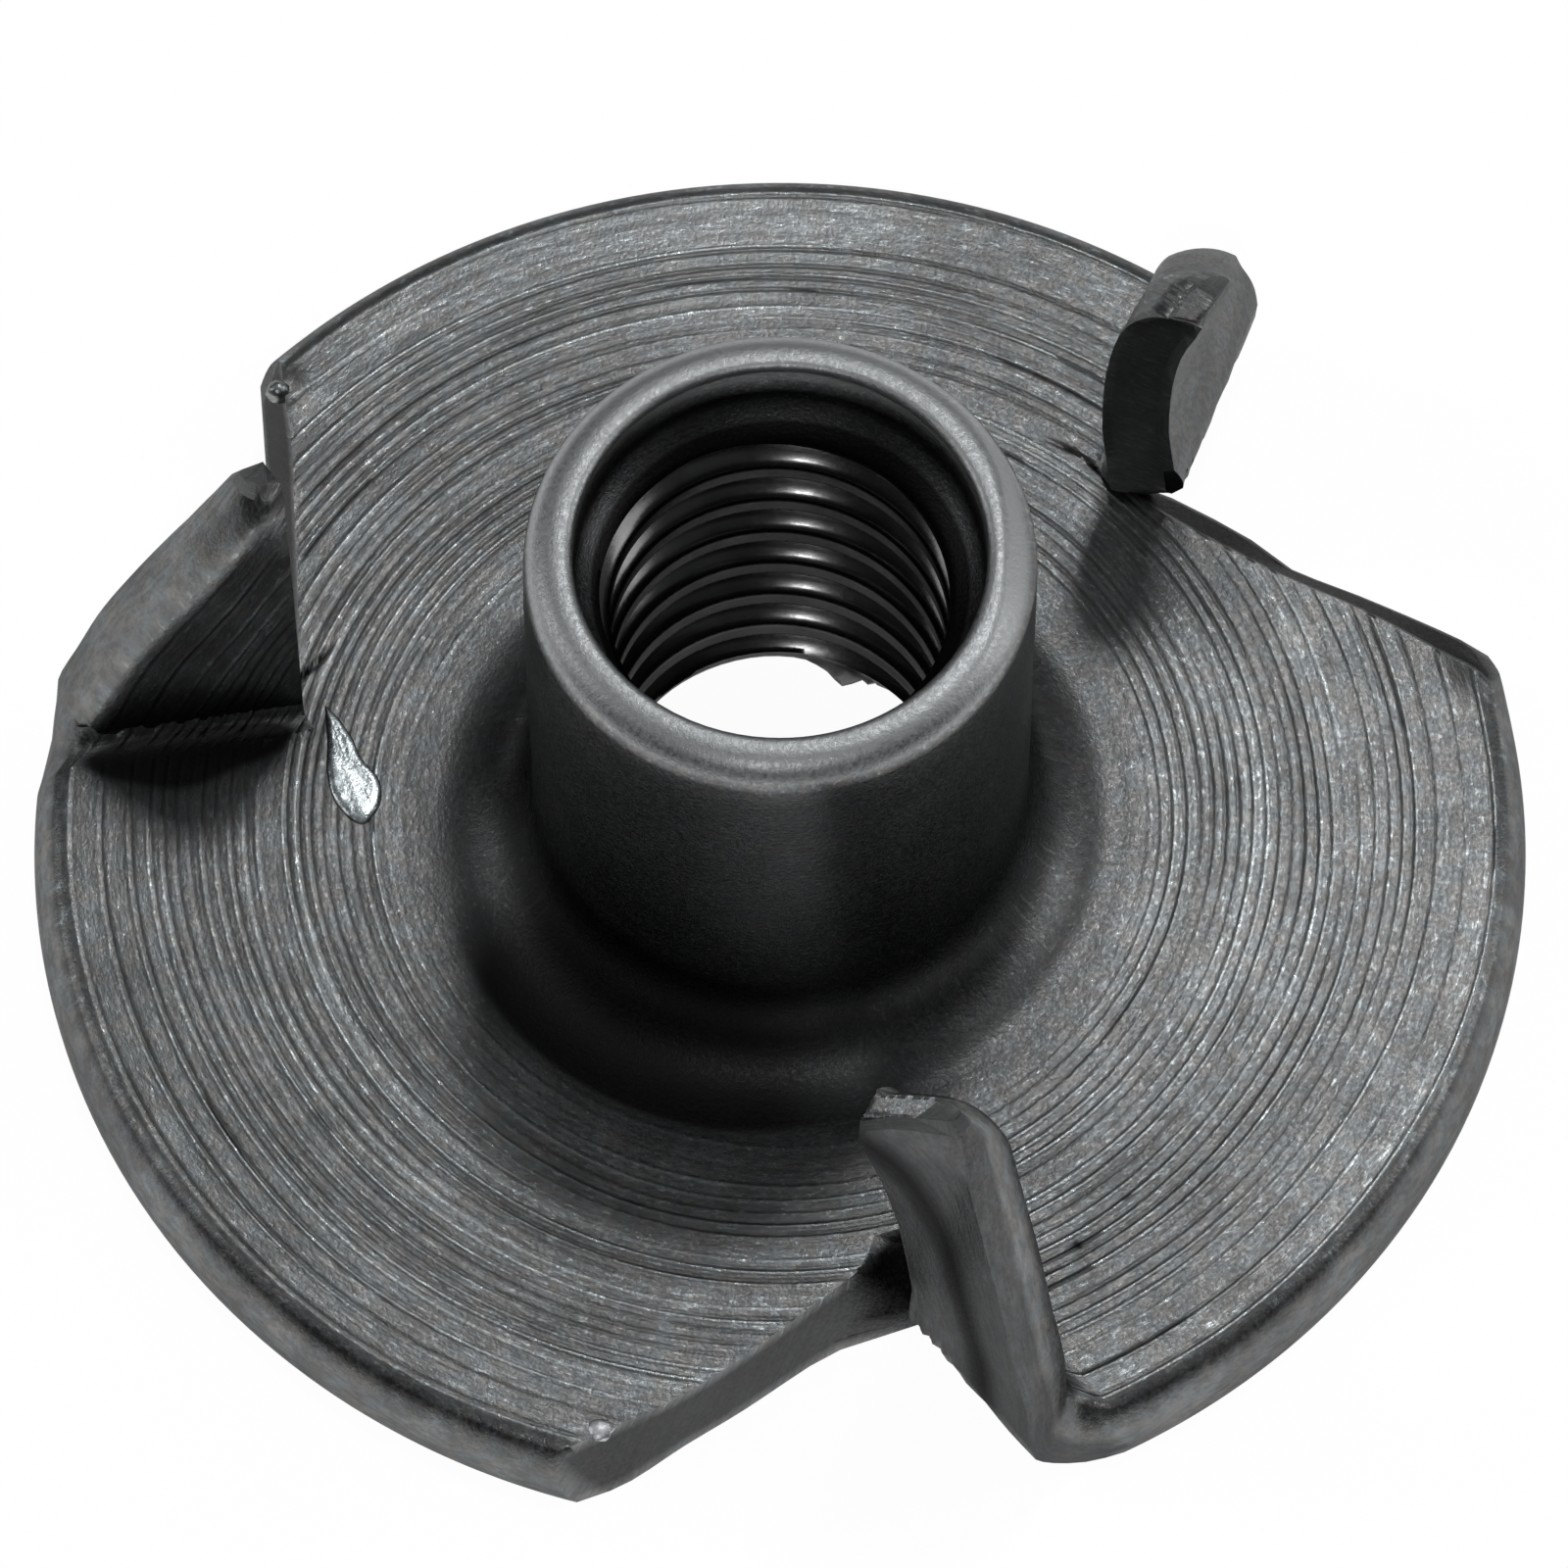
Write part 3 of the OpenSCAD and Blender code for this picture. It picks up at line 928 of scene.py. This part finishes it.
def ring_vector(t, place):
    """A vector that changes quickly across the turning rings and slowly along them."""
    flat = t.node("ShaderNodeCombineXYZ", {0: place[0], 1: place[1]}).outputs[0]
    radius = t.node("ShaderNodeVectorMath", {0: flat}, operation="LENGTH").outputs["Value"]
    way = t.node("ShaderNodeVectorMath", {0: flat}, operation="NORMALIZE").outputs[0]
    along = t.node("ShaderNodeVectorMath", {0: way, "Scale": around_scale}, operation="SCALE").outputs[0]
    across = t.node("ShaderNodeCombineXYZ", {2: t.math("MULTIPLY", radius, radius_scale)}).outputs[0]
    lift = t.node("ShaderNodeCombineXYZ", {2: t.math("MULTIPLY", place[2], height_scale)}).outputs[0]
    total = t.node("ShaderNodeVectorMath", {0: along, 1: across}, operation="ADD").outputs[0]
    return t.node("ShaderNodeVectorMath", {0: total, 1: lift}, operation="ADD").outputs[0]


def steel_colour(t, marks, streak, patch, tint, pale_glint_share, bore):
    """Steel with dirt in patches and streaks, darker grooves and painted glints, then each kind of metal,
    painted shade and painted light that the marks name.
    """
    groove, cut, tone = marks
    colour = t.mix(t.ramp(tint, 0.35, 0.65), cool_steel, warm_steel)
    colour = t.mix(t.math("MULTIPLY", t.ramp(patch, 0.68, 0.36), 0.42), colour, dirty_steel)
    colour = t.mix(t.ramp(streak, 0.62, 0.36, 0.0, 0.45), colour, dirty_steel)
    colour = t.mix(t.math("MULTIPLY", groove, 0.55, clamp=True), colour, groove_dark)
    colour = t.mix(pale_glint_share, colour, pale_and_painted_glint)
    colour = t.mix(t.math("MULTIPLY", cut, 0.85, clamp=True), colour, sheared)
    colour = t.mix(t.math("MULTIPLY", tone, 0.66, clamp=True), colour, drawn_dark_and_shade)
    colour = t.mix(t.math("MULTIPLY", tone, -1.5, clamp=True), colour, paler_and_painted_light)
    colour = t.mix(t.ramp(tone, *black_and_shade_tone), colour, black_and_painted_shade)
    colour = t.mix(t.ramp(tone, *bead_highlight_tone), colour, bead_painted_highlight)
    oily = t.mix(t.ramp(patch, 0.35, 0.65), oily_dark, oily_pale)
    return t.mix(bore, colour, oily)


def steel_roughness(t, tone, speck, pale_glint_share, bore):
    """Roughness: a little more on paler metal, the bead and the darkest drawn metal and painted shade, less
    under the painted glints and on oily metal.
    """
    rough = t.ramp(speck, 0.3, 0.7, 0.30, 0.45)
    rough = t.math("ADD", rough, t.ramp(tone, -0.1, -0.6, 0.0, 0.08))
    rough = t.math("ADD", rough, t.ramp(tone, *bead_highlight_tone, 0.0, 0.1))
    rough = t.math("ADD", rough, t.ramp(tone, 0.9, 1.25, 0.0, 0.08))
    rough = t.math("MULTIPLY_ADD", pale_glint_share, -0.12, rough)
    return t.math("MULTIPLY_ADD", rough, t.ramp(bore, 0, 1, 1.0, 0.25), t.math("MULTIPLY", bore, 0.07))


def steel():
    """Dull turned steel: streaks and painted glints along the rings on the top face, dirt in patches, darker
    grooves, and darker, blacker, paler or oily metal, painted shade and painted light where the third mark
    says so."""
    material, t = new_material("dull_steel")
    marks = t.node("ShaderNodeAttribute", attribute_name="marks").outputs["Vector"]
    marks = t.node("ShaderNodeSeparateXYZ", {0: marks}).outputs
    groove, _, tone = marks
    blank = t.node("ShaderNodeAttribute", attribute_name="blank").outputs["Vector"]
    place = t.node("ShaderNodeSeparateXYZ", {0: blank}).outputs
    ring_space = ring_vector(t, place)
    streak = t.noise(ring_space, 1.0, 3.0, 0.65)
    glint_noise = t.noise(ring_space, 1.2, 3.0, 0.7)
    speck = t.noise(blank, 15.0, 3.0, 0.7)
    patch = t.noise(blank, 0.9, 3.0, 0.55)
    tint = t.noise(blank, 3.1, 2.0, 0.5)

    # painted glints: pale flecks and highlights along the rings, on the top face only
    pale_glint_share = t.math("MULTIPLY_ADD", groove, -1.7, t.ramp(glint_noise, 0.5, 0.74, -0.22, 0.75))
    pale_glint_share = t.math("MULTIPLY", pale_glint_share, t.ramp(place[2], top_from, top_full, 0.0, 0.63), clamp=True)
    bore = t.ramp(tone, *bore_tone)
    colour = steel_colour(t, marks, streak, patch, tint, pale_glint_share, bore)
    rough = steel_roughness(t, tone, speck, pale_glint_share, bore)
    uneven = t.math("ADD", t.math("MULTIPLY", streak, 0.45), t.math("MULTIPLY", speck, 0.55))
    bump = t.node("ShaderNodeBump", {"Strength": t.ramp(tone, 2.2, 2.5, 1.0, 0.1),
                                     "Distance": bump_height, "Height": uneven}).outputs[0]
    shader = t.node("ShaderNodeBsdfPrincipled", {"Metallic": 1.0, "Base Color": colour, "Roughness": rough,
                                                 "Specular Tint": metal_glance, "Normal": bump})
    t.node("ShaderNodeOutputMaterial", {0: shader.outputs[0]})
    return material


def pale_floor():
    """Pale floor that reads as white behind the object and keeps the object's soft shadow."""
    material, t = new_material("pale_floor")
    path = t.node("ShaderNodeLightPath").outputs
    seen = t.math("ADD", path["Is Camera Ray"], path["Is Glossy Ray"])
    seen = t.math("ADD", seen, path["Is Transmission Ray"], clamp=True)
    grain = t.noise(t.node("ShaderNodeTexCoord").outputs["Object"], floor_grain)
    shade = t.mix(t.ramp(grain, 0.3, 0.7), floor_dim, floor_pale)
    diffuse = t.node("ShaderNodeBsdfDiffuse", {"Color": shade}).outputs[0]
    glow = t.node("ShaderNodeEmission", {"Color": (1, 1, 1, 1), "Strength": floor_glow}).outputs[0]
    mixed = t.node("ShaderNodeMixShader", {0: t.math("MULTIPLY", seen, glow_share), 1: diffuse, 2: glow})
    t.node("ShaderNodeOutputMaterial", {0: mixed.outputs[0]})
    return material


# ------------------------------------------------------------------ stage, light and camera, in metres
floor_half = 0.6
floor_drop = 0.00001         # keeps the floor clear of the underside
lamp_aim = Vector((0, 0, 0.003))
# softboxes: name, place, size and power in watts
lamps = [
    ("key", (0.072, 0.198, 0.431), (0.07, 0.07), 0.30),
    ("glint", (-0.012, -0.213, 0.335), (0.03, 0.025), 0.14),
    ("left", (-0.36, 0.06, 0.26), (0.14, 0.3), 0.22),
    ("right", (0.38, 0.06, 0.24), (0.12, 0.3), 0.27),
]
sky_colour = (0.95, 0.985, 1.0, 1)
sky_way = (0.25, 0.55, 0.80)  # the way that the room is palest in
sky_dim = 0.018
sky_pale = 0.175
camera_place = (0.000061, -0.07507, 0.14844)
camera_tilt = math.radians(27.136)
camera_lens = 247.3          # millimetres, as the sensor's width is
sensor_w = 36


def floor():
    """A plain floor under the object."""
    mesh = bpy.data.meshes.new("floor")
    corners = [(x * floor_half, y * floor_half, -floor_drop) for x, y in ((-1, -1), (1, -1), (1, 1), (-1, 1))]
    mesh.from_pydata(corners, [], [(0, 1, 2, 3)])
    mesh.materials.append(pale_floor())
    obj = bpy.data.objects.new("floor", mesh)
    bpy.context.scene.collection.objects.link(obj)


def lamp(name, place, size, power):
    """A softbox aimed at the object."""
    data = bpy.data.lights.new(name, "AREA")
    data.shape = "RECTANGLE"
    data.size, data.size_y = size
    data.energy = power
    obj = bpy.data.objects.new(name, data)
    obj.location = place
    obj.rotation_euler = (lamp_aim - Vector(place)).to_track_quat("-Z", "Y").to_euler()
    bpy.context.scene.collection.objects.link(obj)


def room():
    """Light from all round, dim in front of the object and pale above and behind it."""
    world = bpy.data.worlds.new("room")
    world.use_nodes = True
    t = Tree(world.node_tree)
    sky = t.node("ShaderNodeTexCoord").outputs["Generated"]
    toward = t.node("ShaderNodeVectorMath", {0: sky, 1: sky_way}, operation="DOT_PRODUCT")
    level = t.ramp(toward.outputs["Value"], 0.25, 0.98, sky_dim, sky_pale)
    back = world.node_tree.nodes["Background"]
    back.inputs["Color"].default_value = sky_colour
    world.node_tree.links.new(level, back.inputs["Strength"])
    bpy.context.scene.world = world


def camera():
    """A long lens at the photograph's viewing angle."""
    data = bpy.data.cameras.new("camera")
    data.sensor_width = sensor_w
    data.lens = camera_lens
    data.clip_start = 0.001
    data.clip_end = 10
    obj = bpy.data.objects.new("camera", data)
    obj.location = camera_place
    obj.rotation_euler = (camera_tilt, 0, 0)
    bpy.context.scene.collection.objects.link(obj)
    bpy.context.scene.camera = obj


shell = Shell()
sheet(shell)
barrel(shell)
flake(shell)
corner_bead(shell)
corner_burr(shell)
nut = to_object(shell, "tee_nut_steel", steel())
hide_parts(NODE)
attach(nut, "root")

floor()
room()
for name, place, size, power in lamps:
    lamp(name, place, size, power)
camera()
bpy.context.scene.view_settings.view_transform = "Standard"
